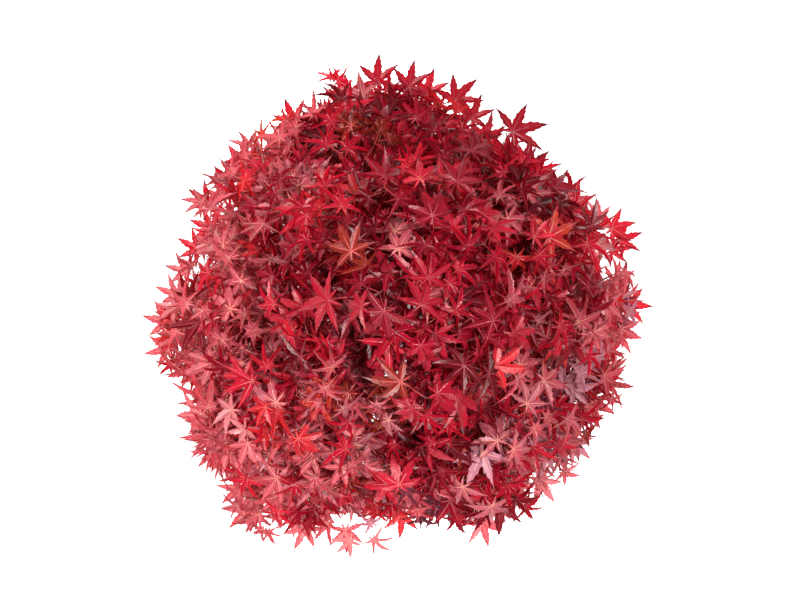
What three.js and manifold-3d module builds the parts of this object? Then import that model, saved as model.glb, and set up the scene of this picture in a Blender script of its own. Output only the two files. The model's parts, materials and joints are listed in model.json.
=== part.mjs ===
// A young Japanese maple in red leaf: a short trunk that leans and flares at the ground, twelve tapering
// limbs that spread from it like a vase, and twelve masses of foliage that together make a round, low dome.
// Each mass is one piece: three-sided twigs that branch from one stem, each ending in a star-shaped leaf
// that stands for a spray of smaller ones.
// Units are millimetres. +Z is up, and the origin is the centre of the flat cut under the trunk.
import * as THREE from "three";
import { mergeVertices } from "three/addons/utils/BufferGeometryUtils.js";
import Module from "manifold-3d";

const wasm = await Module();
wasm.setup();
const { Manifold } = wasm;

// ---------------------------------------------------------------- driving dimensions
const CLEAR = 0.3; // air between a limb's tip and the stem of its mass, and between the masses
const CUT = 0.24; // air cut round a limb where the next one leaves it
const UP = new THREE.Vector3(0, 0, 1);

const TRUNK = {
  height: 285, // from the ground to the fork
  lean: [13, -9], // how far the fork stands off the foot, along X and Y
  sway: 6, // the bend of the trunk to each side of that line
  radius: 15.5, // above the flare
  forkRadius: 12.5,
  flareRadius: 11, // what the root flare adds at the ground
  flareHeight: 34,
  roots: 5, // ridges of the flare
  rootTurn: 0.6, // where the first one points, in radians
  rootDepth: 0.16, // their depth, as a share of the radius there
  sides: 15,
  levels: [0, 9, 24, 48, 90, 145, 205, 255, 285],
};

// Where the boughs spread from, which is the bare middle of the crown.
const HEART = new THREE.Vector3(6, -4, 430);

// The rim: name, azimuth, reach from the axis to the furthest tips, height of the middle, and half the mass's
// depth, width and height.
const RIM = [
  ["east", 12, 434, 588, 168, 225, 142],
  ["north_east", 55, 364, 640, 156, 210, 142],
  ["north", 104, 430, 582, 172, 230, 142],
  ["west", 180, 428, 560, 168, 230, 142],
  ["south_west", 229, 436, 608, 172, 225, 144],
  ["south", 290, 408, 572, 160, 225, 140],
  ["south_east", 334, 398, 644, 156, 210, 138],
];

// The upper tier and the top: name, azimuth, distance of the middle from the axis, height, and the same halves.
const UPPER = [
  ["upper_east", 30, 180, 796, 170, 215, 138],
  ["upper_north", 128, 182, 772, 174, 220, 138],
  ["upper_west", 212, 182, 802, 172, 220, 138],
  ["upper_south", 306, 178, 768, 170, 215, 138],
  ["top", 75, 26, 942, 200, 190, 132],
];

// How far off the middle of its mass, towards the trunk, a limb of the upper tier comes up. One of the rim has 1,
// and that of the top 0.
const UPPER_SPREAD = 0.6;

// The limbs in the order they fork: mass they carry, limb they leave, share of the way along it, and radius where
// they leave it.
const LIMBS = [
  ["top", "trunk", 1, 10.4],
  ["east", "trunk", 0.86, 7.8],
  ["north", "trunk", 0.93, 7.6],
  ["west", "trunk", 0.8, 8.0],
  ["south", "trunk", 0.9, 7.6],
  ["north_east", "east", 0.3, 5.2],
  ["south_west", "west", 0.34, 5.4],
  ["south_east", "south", 0.36, 5.0],
  ["upper_north", "top", 0.24, 6.0],
  ["upper_south", "top", 0.34, 5.8],
  ["upper_west", "top", 0.44, 5.4],
  ["upper_east", "top", 0.53, 5.0],
];
const LIMB = {
  tipRadius: 3.6,
  taper: 0.85, // how the radius falls along it: 1 is evenly, and less is sooner
  collar: 0.28, // swelling where a limb leaves its parent, as a share of its radius
  collarLength: 26,
  sides: 7,
  rings: 9,
  splay: 0.35, // how much wider than straight at its mass a limb sets out
  rise: 0.35, // how much steeper than straight at the middle of its mass it arrives
  forkShare: 0.62, // how far a limb turns to its own way at once, from 0, its parent's way, to 1
  bend: 0.36, // length of the curve's handles, as a share of the limb's span
  entry: [0.5, 0.62], // where the tip lies in its mass: inwards and down, as shares of the half sizes
};

const TWIG = {
  stemRadius: 3.4,
  forkShare: 0.52, // radius of a side twig where it leaves, as a share of its parent's there
  leastRadius: 0.95,
  tipRadius: 0.8, // where a twig meets its leaf
  step: 78, // longest straight stretch
  jointEvery: 26, // spacing of the places where a twig can fork
  balance: 0.35, // how much a long way back to the stem counts against a fork
  leastRise: 0.12, // least rise of a side twig to its leaf's face, as a share of its span
  goodRise: 0.3, // the rise from which it costs nothing more
  flatCost: 400,
  mostAtFork: 2, // side twigs that leave at one place
  tries: 4, // forks tried for a leaf, from the cheapest
  forkLength: 4.4, // length of a side twig's root along its parent
  root: 9, // how far from its fork a twig is clear of its parent and the other twigs there
  sweep: 0.42, // how far a side twig sets out along its parent's way, from 0 to 1
  bend: 0.45, // length of the curve's handle, as a share of the span
};

const LEAF = {
  length: 60, // the middle lobe, from the stalk to its tip
  halfThickness: 0.9,
  sizes: [1, 0.84, 0.7], // shares of the length, tried from the largest
  lobes: [0, 51, 106], // angles from the middle lobe, in degrees, on each side
  lobeLengths: [1, 0.92, 0.68],
  notch: 0.36, // radius of the gaps between lobes, as a share of the length
  backNotch: 0.12, // and of the gap at the stalk
  droop: 0.16, // fall of the tips below the stalk, as a share of the length
};

const SITES = {
  seed: 101, // of the first mass
  directions: 54, // spread evenly round each mass
  inward: -0.3, // those that look this much back at the heart of the crown bear no leaf
  downward: -0.55, // nor those that look this steeply down
  inner: 0.62, // every third one lies in an inner layer, at this share of the way out
  retreat: 0.07, // step by which a leaf that sticks out of its space is drawn in
  nearest: 0.3, // and where it gives up
  wander: 0.3, // random part of a direction
  outward: 0.4, // how much a leaf points away from the heart of the crown
  facing: 0.72, // how much its face follows its direction, beside up
  turn: 0.9, // random turn of a leaf round the vertical, in radians
  tilt: 0.55, // random part of the way its face looks
};

const COLOURS = {
  bark: 0x6e5f55,
  youngBark: 0x7b5148,
  foliage: {
    east: 0xa3263a, north_east: 0x8e1d2c, north: 0x97202f, west: 0xb23e4e, south_west: 0xb4525c,
    south: 0xb85560, south_east: 0xa8505f, upper_east: 0x8a1a29, upper_north: 0x9a2231,
    upper_west: 0xa62b38, upper_south: 0x9c3040, top: 0x901c28,
  },
};

const ROUGHNESS = { bark: 0.85, youngBark: 0.7, foliage: 0.5 };

// ---------------------------------------------------------------- small tools
const radians = THREE.MathUtils.degToRad;
const lerp = THREE.MathUtils.lerp;

// A repeatable stream of numbers from 0 to 1.
function seeded(seed) {
  let state = seed >>> 0;
  return () => {
    state = (state + 0x6d2b79f5) >>> 0;
    let t = Math.imul(state ^ (state >>> 15), state | 1);
    t ^= t + Math.imul(t ^ (t >>> 7), t | 61);
    return ((t ^ (t >>> 14)) >>> 0) / 4294967296;
  };
}

function polar(azimuth, distance, height) {
  const a = radians(azimuth);
  return new THREE.Vector3(distance * Math.cos(a), distance * Math.sin(a), height);
}

// A closed skin of triangles, put together ring by ring. Rings are anticlockwise seen from the next one.
class Skin {
  points = [];
  faces = new Set();

  ring(points) {
    const first = this.points.length;
    this.points.push(...points);
    return points.map((_, i) => first + i);
  }

  // The strip between two rings, which may differ in number of points: it advances on whichever is behind.
  strip(a, b) {
    const made = [];
    for (let i = 0, j = 0; i < a.length || j < b.length; ) {
      const along = j >= b.length || (i < a.length && (i + 0.5) / a.length <= (j + 0.5) / b.length);
      const next = along ? a[(i + 1) % a.length] : b[(j + 1) % b.length];
      if ((along ? a : b).length > 1) made.push([a[i % a.length], next, b[j % b.length]]);
      if (along) i++;
      else j++;
    }
    made.forEach((face) => this.faces.add(face));
    return made;
  }

  // Closes the first ring of a skin, or with onwards its last one.
  cap(ring, onwards) {
    for (let i = 1; i + 1 < ring.length; i++) {
      this.faces.add(onwards ? [ring[0], ring[i], ring[i + 1]] : [ring[0], ring[i + 1], ring[i]]);
    }
  }

  geometry() {
    const geometry = new THREE.BufferGeometry().setFromPoints(this.points);
    geometry.setIndex([...this.faces].flat());
    return geometry;
  }
}

// The closed skin over a row of rings.
function loft(rings) {
  const skin = new Skin();
  const made = rings.map((points) => skin.ring(points));
  skin.cap(made[0], false);
  for (let k = 0; k + 1 < made.length; k++) skin.strip(made[k], made[k + 1]);
  skin.cap(made.at(-1), true);
  return skin.geometry();
}

function toSolid(geometry) {
  const merged = mergeVertices(geometry, 1e-4);
  return new Manifold(
    new wasm.Mesh({
      numProp: 3,
      vertProperties: new Float32Array(merged.attributes.position.array),
      triVerts: new Uint32Array(merged.index.array),
    }),
  );
}

function toGeometry(solid) {
  const mesh = solid.getMesh();
  const geometry = new THREE.BufferGeometry();
  geometry.setAttribute("position", new THREE.BufferAttribute(mesh.vertProperties, 3));
  geometry.setIndex(new THREE.BufferAttribute(mesh.triVerts, 1));
  geometry.computeVertexNormals();
  return geometry;
}

// The largest of a solid's separate bodies: what a cut leaves loose is dropped.
function largest(solid) {
  return solid.decompose().reduce((a, b) => (b.volume() > a.volume() ? b : a));
}

// ---------------------------------------------------------------- trunk and limbs
class TrunkLine extends THREE.Curve {
  getPoint(t, target = new THREE.Vector3()) {
    const ease = t * t * (3 - 2 * t);
    const sway = TRUNK.sway * Math.sin(2 * Math.PI * t);
    return target.set(TRUNK.lean[0] * ease - sway, TRUNK.lean[1] * ease + 0.5 * sway, TRUNK.height * t);
  }
}

function trunkRadius(height, angle) {
  const low = Math.exp(-height / TRUNK.flareHeight);
  const ridge = TRUNK.rootDepth * low * Math.cos(TRUNK.roots * angle + TRUNK.rootTurn);
  return (lerp(TRUNK.radius, TRUNK.forkRadius, height / TRUNK.height) + TRUNK.flareRadius * low) * (1 + ridge);
}

// Level rings, so that the cut at the ground is flat.
function trunkSkin(line, grow) {
  return loft(
    TRUNK.levels.map((height) => {
      const middle = line.getPoint(height / TRUNK.height);
      const rise = height === TRUNK.height ? grow : 0;
      return Array.from({ length: TRUNK.sides }, (_, i) => {
        const angle = (2 * Math.PI * i) / TRUNK.sides;
        const radius = trunkRadius(height, angle) + grow;
        return new THREE.Vector3(radius * Math.cos(angle), radius * Math.sin(angle), rise).add(middle);
      });
    }),
  );
}

function limbRadius(limb, t) {
  const collar = LIMB.collar * Math.exp((-t * limb.length) / LIMB.collarLength);
  return lerp(limb.radius, LIMB.tipRadius, t ** LIMB.taper) * (1 + collar);
}

function limbSkin(limb, grow) {
  const frames = limb.line.computeFrenetFrames(LIMB.rings - 1);
  return loft(
    Array.from({ length: LIMB.rings }, (_, k) => {
      const t = k / (LIMB.rings - 1);
      const middle = limb.line.getPointAt(t);
      if (k === LIMB.rings - 1) middle.addScaledVector(frames.tangents[k], grow);
      const radius = limbRadius(limb, t) + grow;
      return Array.from({ length: LIMB.sides }, (_, i) => {
        const angle = (2 * Math.PI * i) / LIMB.sides;
        return middle
          .clone()
          .addScaledVector(frames.normals[k], radius * Math.cos(angle))
          .addScaledVector(frames.binormals[k], radius * Math.sin(angle));
      });
    }),
  );
}

// The way a limb runs: out of its parent at an angle, then round to the mass it carries, which it enters from
// below and from the trunk's side.
function limbLine(parent, share, mass) {
  const start = parent.line.getPointAt(share);
  const tip = mass.middle
    .clone()
    .addScaledVector(mass.outwards, -LIMB.entry[0] * mass.half.x * mass.spread)
    .addScaledVector(UP, -LIMB.entry[1] * mass.half.z);
  const span = start.distanceTo(tip);
  const ownWay = tip.clone().sub(start).normalize().addScaledVector(mass.outwards, LIMB.splay * mass.spread);
  const turned = share === 1 ? 0 : LIMB.forkShare;
  const leave = parent.line.getTangentAt(share).lerp(ownWay.normalize(), turned).normalize();
  const arrive = mass.middle.clone().sub(tip).normalize().lerp(UP, LIMB.rise).normalize();
  return new THREE.CubicBezierCurve3(
    start,
    start.clone().addScaledVector(leave, LIMB.bend * span),
    tip.clone().addScaledVector(arrive, -LIMB.bend * span),
    tip,
  );
}

// ---------------------------------------------------------------- the spaces of the masses
function makeMasses() {
  const mass = (name, azimuth, distance, height, half, spread) => ({
    name,
    middle: polar(azimuth, distance, height),
    half: new THREE.Vector3(...half),
    outwards: polar(azimuth, 1, 0),
    sideways: polar(azimuth + 90, 1, 0),
    spread,
  });
  const masses = [
    ...RIM.map(([name, azimuth, reach, height, ...half]) =>
      mass(name, azimuth, reach - half[0], height, half, 1),
    ),
    ...UPPER.map(([name, azimuth, distance, height, ...half]) =>
      mass(name, azimuth, distance, height, half, name === "top" ? 0 : UPPER_SPREAD),
    ),
  ];
  for (const m of masses) m.walls = masses.filter((other) => other !== m).map((other) => wallBetween(m, other));
  return masses;
}

// A direction's shares along a mass's own axes: away from the tree, sideways and up.
function inMass(mass, v) {
  return new THREE.Vector3(v.dot(mass.outwards), v.dot(mass.sideways), v.z);
}

function outOfMass(mass, v) {
  return mass.outwards.clone().multiplyScalar(v.x).addScaledVector(mass.sideways, v.y).addScaledVector(UP, v.z);
}

// The plane between two masses, which parts the line between their middles as their half sizes do.
function wallBetween(mass, other) {
  const normal = other.middle.clone().sub(mass.middle);
  const gap = normal.length();
  normal.divideScalar(gap);
  const reach = (m) => 1 / inMass(m, normal).divide(m.half).length();
  const share = reach(mass) / (reach(mass) + reach(other));
  return new THREE.Plane(normal, -(normal.dot(mass.middle) + gap * share));
}

// How far a point is out of its mass's space: 1 on the outside, less within, and over 1 past it or past a wall.
function outness(mass, point, margin) {
  if (mass.walls.some((wall) => wall.distanceToPoint(point) > -margin)) return 2;
  return inMass(mass, point.clone().sub(mass.middle)).divide(mass.half).length();
}

// ---------------------------------------------------------------- leaves and twigs
// A leaf's outline as seen from above it, anticlockwise from the middle lobe: x forwards, y to its left, z up.
function leafOutline() {
  const { lobes, lobeLengths, notch, backNotch, droop } = LEAF;
  const at = (angle, radius) => polar(angle, radius, -droop * radius * radius);
  const side = lobes.map((angle, i) => [
    at(angle, lobeLengths[i]),
    i + 1 < lobes.length ? at((angle + lobes[i + 1]) / 2, notch * lobeLengths[i]) : at(180, backNotch),
  ]);
  const left = side.flat();
  const right = left
    .slice(1, -1)
    .reverse()
    .map((p) => new THREE.Vector3(p.x, -p.y, p.z));
  return [...left, ...right];
}
const OUTLINE = leafOutline();

// The leaf's own axes at its place: forwards, to its left and up out of its face.
function leafAxes(forwards, normal) {
  const left = normal.clone().cross(forwards).normalize();
  return { left, normal, forwards: left.clone().cross(normal) };
}

function leafPoint(leaf, p, lift = 0) {
  return leaf.place
    .clone()
    .addScaledVector(leaf.forwards, p.x * leaf.length)
    .addScaledVector(leaf.left, p.y * leaf.length)
    .addScaledVector(leaf.normal, p.z * leaf.length + lift);
}

function triangleRing(middle, forwards, left, radius) {
  return [0, 1, 2].map((i) => {
    const angle = (2 * Math.PI * i) / 3;
    return middle
      .clone()
      .addScaledVector(forwards, radius * Math.cos(angle))
      .addScaledVector(left, radius * Math.sin(angle));
  });
}

// A twig's three-sided ring at a share of its way.
function twigRing(twig, t) {
  const ahead = twig.line.getTangent(t);
  const left = twig.leaf.left.clone().addScaledVector(ahead, -ahead.dot(twig.leaf.left)).normalize();
  const radius = lerp(twig.radius, TWIG.tipRadius, t);
  return triangleRing(twig.line.getPoint(t), left.clone().cross(ahead), left, radius);
}

// A leaf's rings: the outline, and the middle of its upper face.
function bladeRings(leaf) {
  return [OUTLINE.map((p) => leafPoint(leaf, p)), [leafPoint(leaf, new THREE.Vector3(), LEAF.halfThickness)]];
}

// A twig's last rings: where it meets its leaf from below, and the leaf.
function endRings(twig) {
  const under = leafPoint(twig.leaf, new THREE.Vector3(), -LEAF.halfThickness);
  return [triangleRing(under, twig.leaf.forwards, twig.leaf.left, TWIG.tipRadius), ...bladeRings(twig.leaf)];
}

// Adds a twig to a skin, from its root ring to its leaf, with the twigs that fork from it. A side twig grows
// out of the face of its parent that looks most its way, between a close pair of rings.
function addTwig(skin, twig, root) {
  const pair = TWIG.forkLength / 2 / twig.line.getLength();
  const forks = twig.joints.filter((joint) => joint.twigs.length);
  const bends = bendsOf(twig).filter((t) => forks.every((joint) => Math.abs(joint.t - t) > 4 * pair));
  const places = [
    ...forks.flatMap((joint) => [{ t: joint.t - pair }, { t: joint.t + pair, joint }]),
    ...bends.map((t) => ({ t })),
  ].sort((a, b) => a.t - b.t);
  let last = root;
  for (const { t, joint } of places) {
    const ring = skin.ring(twigRing(twig, t));
    let sides = skin.strip(last, ring);
    for (const child of joint ? joint.twigs : []) {
      const way = child.leaf.place.clone().sub(joint.at);
      const looks = (side) => faceNormal(skin, side).dot(way);
      const chosen = sides.reduce((a, b) => (looks(b) > looks(a) ? b : a));
      sides = sides.filter((side) => side !== chosen);
      skin.faces.delete(chosen);
      addTwig(skin, child, turnedTo(skin, chosen, firstRing(child)));
    }
    last = ring;
  }
  for (const points of endRings(twig)) {
    const ring = skin.ring(points);
    skin.strip(last, ring);
    last = ring;
  }
}

// The ring that follows a twig's root, as it would be with no forks on the twig.
function firstRing(twig) {
  return twig.stretches > 1 ? twigRing(twig, 1 / twig.stretches) : endRings(twig)[0];
}

function faceNormal(skin, face) {
  const [a, b, c] = face.map((i) => skin.points[i]);
  return b.clone().sub(a).cross(c.clone().sub(a)).normalize();
}

// A face's corners, started from the one that leaves the least twist to the ring ahead.
function turnedTo(skin, face, ahead) {
  const twist = (start) => {
    const corners = [0, 1, 2].map((k) => skin.points[face[(start + k) % 3]]);
    const drift = centre(ahead).sub(centre(corners));
    return corners.reduce((sum, corner, k) => sum + corner.clone().add(drift).distanceTo(ahead[k]), 0);
  };
  const start = [0, 1, 2].reduce((a, b) => (twist(b) < twist(a) ? b : a));
  return [0, 1, 2].map((k) => face[(start + k) % 3]);
}

function centre(points) {
  return points.reduce((sum, p) => sum.add(p), new THREE.Vector3()).divideScalar(points.length);
}

// Where a mass bears its leaves: even directions round its middle, each with the furthest place and the largest
// leaf that stay in the mass's space.
function leafSites(mass, random) {
  const golden = Math.PI * (3 - Math.sqrt(5));
  const away = mass.middle.clone().sub(HEART).normalize();
  const sites = [];
  for (let i = 0; i < SITES.directions; i++) {
    const height = 1 - (2 * (i + 0.5)) / SITES.directions;
    const round = Math.sqrt(1 - height * height);
    const wander = new THREE.Vector3(random() - 0.5, random() - 0.5, random() - 0.5);
    const way = new THREE.Vector3(round * Math.cos(golden * i), round * Math.sin(golden * i), height)
      .addScaledVector(wander, SITES.wander)
      .normalize();
    const turn = SITES.turn * (random() - 0.5);
    const tilt = new THREE.Vector3(random() - 0.5, random() - 0.5, 0).multiplyScalar(SITES.tilt);
    const looks = outOfMass(mass, way);
    if (looks.dot(away) < SITES.inward || way.z < SITES.downward) continue;
    const forwards = looks.clone().addScaledVector(away, SITES.outward).setZ(0).normalize();
    forwards.applyAxisAngle(UP, turn);
    const normal = UP.clone().addScaledVector(looks, SITES.facing).add(tilt).normalize();
    const leaf = furthestLeaf(mass, way, leafAxes(forwards, normal), i % 3 === 2 ? SITES.inner : 1);
    if (leaf) sites.push(leaf);
  }
  return sites;
}

function furthestLeaf(mass, way, axes, start) {
  for (let share = start; share > SITES.nearest; share -= SITES.retreat) {
    for (const size of LEAF.sizes) {
      const place = outOfMass(mass, way.clone().multiply(mass.half).multiplyScalar(share)).add(mass.middle);
      const leaf = { ...axes, place, length: LEAF.length * size };
      if (OUTLINE.every((p) => outness(mass, leafPoint(leaf, p), CLEAR) <= 1)) return leaf;
    }
  }
  return null;
}

// How much the way from a joint to a leaf rises to the leaf's face, from -1 to 1.
function risesTo(joint, leaf) {
  return leaf.place.clone().sub(joint.at).normalize().dot(leaf.normal);
}

// A twig comes up under its leaf, so one that would run along the leaf's face costs more.
function forkCost(joint, leaf) {
  const flat = Math.max(0, TWIG.goodRise - risesTo(joint, leaf));
  return joint.at.distanceTo(leaf.place) + TWIG.balance * joint.run + TWIG.flatCost * flat;
}

// A twig from a joint to a leaf. A side twig sets out partly along its parent's way, and a stem wholly.
function twigTo(from, leaf) {
  const span = from.at.distanceTo(leaf.place);
  const leave = leaf.place.clone().sub(from.at).normalize().lerp(from.heading, from.sweep);
  const handle = from.at.clone().addScaledVector(leave, TWIG.bend * span);
  return {
    leaf,
    span,
    line: new THREE.QuadraticBezierCurve3(from.at, handle, leaf.place),
    radius: Math.max(TWIG.leastRadius, from.radius * TWIG.forkShare),
    stretches: Math.max(1, Math.ceil(span / TWIG.step)),
    joints: [],
  };
}

// The shares of a twig's way where its straight stretches meet.
function bendsOf(twig) {
  return Array.from({ length: twig.stretches - 1 }, (_, k) => (k + 1) / twig.stretches);
}

// The places on a twig where others can fork from it. Its run is the way from there back to the stem's foot.
function jointsOn(twig, run) {
  const count = Math.floor(twig.span / TWIG.jointEvery);
  return Array.from({ length: count }, (_, k) => (k + 1) / (count + 1)).map((t) => ({
    t,
    at: twig.line.getPoint(t),
    heading: twig.line.getTangent(t),
    run: run + t * twig.span,
    radius: lerp(twig.radius, TWIG.tipRadius, t),
    sweep: TWIG.sweep,
    twigs: [],
  }));
}

// A twig and its leaf by themselves, from a share of the twig's way.
function twigSolid(twig, from) {
  return toSolid(loft([...[from, ...bendsOf(twig)].map((t) => twigRing(twig, t)), ...endRings(twig)]));
}

// The twigs of a mass, by one rule: from the stem outwards, each leaf is joined to the place on the twigs that
// costs the shortest way, where a long way back to the stem counts too. What would leave the space or cross a
// limb, a twig or a leaf is skipped.
function growMass(mass, start, heading, limbs, random) {
  const joints = [];
  const grown = [];
  const cross = (a, b) => !a.intersect(b).isEmpty();
  const grow = (from, leaf) => {
    const twig = twigTo(from, leaf);
    if (bendsOf(twig).some((t) => outness(mass, twig.line.getPoint(t), twig.radius) > 1)) return false;
    const whole = twigSolid(twig, 0);
    const free = twigSolid(twig, Math.min(TWIG.root / twig.span, 0.5));
    if (cross(whole, limbs) || grown.some((other) => cross(free, other))) return false;
    grown.push(whole);
    twig.joints = jointsOn(twig, from.run);
    joints.push(...twig.joints);
    from.twigs.push(twig);
    return true;
  };

  // The stem runs to the leaf furthest along its own heading.
  const ahead = (leaf) => leaf.place.clone().sub(start).dot(heading);
  const sites = leafSites(mass, random).sort((a, b) => a.place.distanceTo(start) - b.place.distanceTo(start));
  const furthest = sites.reduce((a, b) => (ahead(b) > ahead(a) ? b : a));
  const foot = { at: start, heading, run: 0, radius: TWIG.stemRadius / TWIG.forkShare, sweep: 1, twigs: [] };
  grow(foot, furthest);
  for (const leaf of sites.filter((site) => site !== furthest)) {
    joints
      .filter((joint) => joint.twigs.length < TWIG.mostAtFork && risesTo(joint, leaf) > TWIG.leastRise)
      .map((joint) => ({ joint, cost: forkCost(joint, leaf) }))
      .sort((a, b) => a.cost - b.cost)
      .slice(0, TWIG.tries)
      .some(({ joint }) => grow(joint, leaf));
  }

  const stem = foot.twigs[0];
  const skin = new Skin();
  const root = skin.ring(twigRing(stem, 0));
  skin.cap(root, false);
  addTwig(skin, stem, root);
  return toSolid(skin.geometry());
}

// ---------------------------------------------------------------- the tree
function makeTree() {
  const tree = new THREE.Group();
  const material = (color, roughness) => new THREE.MeshStandardMaterial({ color, roughness, metalness: 0 });
  const bark = material(COLOURS.bark, ROUGHNESS.bark);
  const youngBark = material(COLOURS.youngBark, ROUGHNESS.youngBark);
  const add = (name, solid, look) => {
    const mesh = new THREE.Mesh(toGeometry(solid), look);
    mesh.name = name;
    tree.add(mesh);
  };

  const trunkLine = new TrunkLine();
  const limbs = new Map([["trunk", { line: trunkLine }]]);
  let guard = toSolid(trunkSkin(trunkLine, CUT));
  add("trunk", toSolid(trunkSkin(trunkLine, 0)), bark);

  const masses = makeMasses();
  for (const [name, parent, share, radius] of LIMBS) {
    const mass = masses.find((m) => m.name === name);
    const line = limbLine(limbs.get(parent), share, mass);
    const limb = { line, radius, length: line.getLength() };
    limbs.set(name, limb);
    // Each limb is cut to fit round what it leaves.
    const solid = largest(toSolid(limbSkin(limb, 0)).subtract(guard));
    add(name === "top" ? "leader" : "bough_" + name, solid, youngBark);
    guard = guard.add(toSolid(limbSkin(limb, CUT)));
  }

  masses.forEach((mass, i) => {
    const { line } = limbs.get(mass.name);
    const heading = line.getTangentAt(1);
    const start = line.getPointAt(1).addScaledVector(heading, CLEAR);
    const solid = growMass(mass, start, heading, guard, seeded(SITES.seed + i));
    add("foliage_" + mass.name, solid, material(COLOURS.foliage[mass.name], ROUGHNESS.foliage));
  });
  return tree;
}

export default makeTree();
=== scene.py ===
import json
import math
from types import SimpleNamespace as Named

import bpy
import numpy as np
from numpy.linalg import norm
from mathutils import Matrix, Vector, noise


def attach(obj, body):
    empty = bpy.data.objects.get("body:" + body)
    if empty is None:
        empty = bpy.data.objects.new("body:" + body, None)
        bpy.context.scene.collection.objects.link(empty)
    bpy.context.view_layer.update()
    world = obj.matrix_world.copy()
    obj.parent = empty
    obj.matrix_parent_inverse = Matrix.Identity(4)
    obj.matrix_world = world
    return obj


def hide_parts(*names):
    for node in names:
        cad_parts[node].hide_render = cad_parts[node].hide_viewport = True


# A young Japanese maple in red leaf. Bark with its relief dresses the trunk and the limbs, and each mass of
# foliage grows again from its limb by the rule of its solid, carried on to side shoots, stalks and leaves.
# Everything is in metres, in the frame of the solids.
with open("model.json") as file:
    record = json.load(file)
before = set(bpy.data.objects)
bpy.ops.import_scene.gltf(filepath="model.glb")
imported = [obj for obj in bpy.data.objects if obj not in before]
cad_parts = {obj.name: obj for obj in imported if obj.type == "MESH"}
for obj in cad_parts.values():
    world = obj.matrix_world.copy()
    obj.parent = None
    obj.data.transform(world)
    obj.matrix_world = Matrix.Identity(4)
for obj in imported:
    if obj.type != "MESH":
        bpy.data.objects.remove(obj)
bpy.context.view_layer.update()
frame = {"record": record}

UP = np.array((0.0, 0.0, 1.0))
HEART = np.array((0.006, -0.004, 0.430))  # the bare middle of the crown, which the boughs spread from

TRUNK = Named(
    height=0.285, lean=(0.013, -0.009), sway=0.006, side_sway=0.5, radius=0.0155,
    fork_radius=0.0125, flare=0.011, flare_height=0.034, roots=5, root_turn=0.6,
    root_depth=0.16, sides=72, rings=130, crowding=1.3,
)

# The masses: name, azimuth, reach (on the rim) or distance of the middle from the axis (above it), height
# of the middle, and half the depth, width and height.
RIM = [
    ("east", 12, 0.434, 0.588, (0.168, 0.225, 0.142)),
    ("north_east", 55, 0.364, 0.640, (0.156, 0.210, 0.142)),
    ("north", 104, 0.430, 0.582, (0.172, 0.230, 0.142)),
    ("west", 180, 0.428, 0.560, (0.168, 0.230, 0.142)),
    ("south_west", 229, 0.436, 0.608, (0.172, 0.225, 0.144)),
    ("south", 290, 0.408, 0.572, (0.160, 0.225, 0.140)),
    ("south_east", 334, 0.398, 0.644, (0.156, 0.210, 0.138)),
]
UPPER = [
    ("upper_east", 30, 0.180, 0.796, (0.170, 0.215, 0.138)),
    ("upper_north", 128, 0.182, 0.772, (0.174, 0.220, 0.138)),
    ("upper_west", 212, 0.182, 0.802, (0.172, 0.220, 0.138)),
    ("upper_south", 306, 0.178, 0.768, (0.170, 0.215, 0.138)),
    ("top", 75, 0.026, 0.942, (0.200, 0.190, 0.132)),
]
UPPER_SPREAD = 0.6

# The limbs: mass, limb it leaves, share of the way along it, radius there.
LIMBS = [
    ("top", "trunk", 1, 0.0104),
    ("east", "trunk", 0.86, 0.0078),
    ("north", "trunk", 0.93, 0.0076),
    ("west", "trunk", 0.8, 0.0080),
    ("south", "trunk", 0.9, 0.0076),
    ("north_east", "east", 0.3, 0.0052),
    ("south_west", "west", 0.34, 0.0054),
    ("south_east", "south", 0.36, 0.0050),
    ("upper_north", "top", 0.24, 0.0060),
    ("upper_south", "top", 0.34, 0.0058),
    ("upper_west", "top", 0.44, 0.0054),
    ("upper_east", "top", 0.53, 0.0050),
]
LIMB = Named(
    tip=0.0036, taper=0.85, collar=0.28, collar_length=0.026, splay=0.35, rise=0.35,
    fork_share=0.62, bend=0.36, entry=(0.5, 0.62), sides=22, ring_step=0.0045, least_rings=12,
)
TWIG = Named(
    stem=0.0034, fork_share=0.52, least=0.00095, tip=0.0008, joint_every=0.026, balance=0.35,
    least_rise=0.12, good_rise=0.3, flat_cost=0.4, most_at_fork=2, sweep=0.42, bend=0.45,
    clear=0.0003,
)
SITES = Named(
    seed=101, directions=54, inward=-0.3, downward=-0.55, inner=0.62, inner_every=3,
    retreat=0.07, nearest=0.3, wander=0.3, outward=0.4, facing=0.72, turn=0.9, tilt=0.55,
    pairs=4,
)
INNER = Named(
    directions=40, wander=0.5, share=(0.4, 0.92), clear=0.015, downward=-0.85,
    least_rise=-0.35, pairs=2.6,
)
# The stand-in leaf that finds room for a spray.
ROOM = Named(
    length=0.060, sizes=(1, 0.84, 0.7), lobes=(0, 51, 106), lengths=(1, 0.92, 0.68),
    notch=0.36, back_notch=0.12, droop=0.16,
)
CURVE = np.linspace(0, 1, 201)  # the shares of its way at which a limb's curve is worked out
NEAR = 1e-4  # step to either side of a joint that gives the twig's heading there
AHEAD = 0.01  # step along a twig that gives its heading where leaves and side shoots stand
TINY = 1e-6  # added to a direction, so that it is never zero
ALONG_X = 0.8  # from here on a unit vector's part along X is too large for X to be a good square to it


# ---- small tools
def unit(v):
    return v / norm(v)


def lerp(a, b, t):
    return a + (b - a) * t


def polar(azimuth, distance, height):
    a = math.radians(azimuth)
    return np.array((distance * math.cos(a), distance * math.sin(a), height))


def turned(v, angle):
    """v turned round the vertical, in radians."""
    c, s = math.cos(angle), math.sin(angle)
    return np.array((c * v[0] - s * v[1], s * v[0] + c * v[1], v[2]))


def levelled(v, rise=0):
    """The direction of v laid level, or with this share of its rise."""
    return unit(v * (1, 1, rise) + TINY)


def clamp(value):
    return min(1, max(0, value))


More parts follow.
